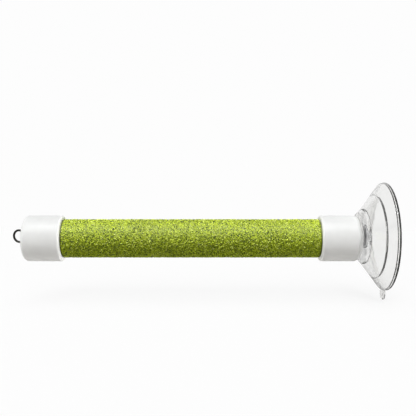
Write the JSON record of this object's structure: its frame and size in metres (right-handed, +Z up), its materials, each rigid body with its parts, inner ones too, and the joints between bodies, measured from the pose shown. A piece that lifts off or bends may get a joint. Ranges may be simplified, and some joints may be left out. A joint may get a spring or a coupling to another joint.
{
  "type": "bird perch",
  "caption": "Round grit-covered window perch for small birds, held to glass by a clear suction cup, with end caps and a wire eye for toys.",
  "frame": {"origin": "centre of the suction cup's rim, on the glass", "axes": "+X along the stud, into the glass; +Z up, with the pull tab hanging down; the perch reaches to -X"},
  "size_m": [0.272, 0.0784, 0.0856],
  "materials": {
    "clear_vinyl": "glossy clear",
    "white_pvc": "satin",
    "green_grit": "rough sand grains",
    "steel": "bright zinc",
    "dark_steel": "dark polished wire",
    "nylon": "satin"
  },
  "bodies": {
    "cup": {"suction_cup": "clear_vinyl"},
    "stud": {"cup_stud": "steel", "cup_washer": "steel", "cup_lock_nut": "steel", "cup_nut_insert": "nylon"},
    "perch": {"mount_cap": "white_pvc", "core_tube": "white_pvc", "grit_sleeve": "green_grit", "toy_cap": "white_pvc"},
    "eye": {"eye_bolt": "dark_steel", "eye_washer": "steel", "eye_lock_nut": "steel", "eye_nut_insert": "nylon"}
  },
  "joints": [
    {"name": "cup_press", "type": "slide", "parent": "cup", "child": "stud", "axis": [1, 0, 0], "range_m": [0, 0.008], "stiffness_N_per_m": 3500, "deforming": ["suction_cup"]},
    {"name": "perch_turn", "type": "hinge", "parent": "stud", "child": "perch", "pos_m": [-0.022, 0, 0], "axis": [1, 0, 0], "continuous": true},
    {"name": "eye_swivel", "type": "hinge", "parent": "perch", "child": "eye", "pos_m": [-0.2607, 0, 0], "axis": [1, 0, 0], "continuous": true}
  ]
}
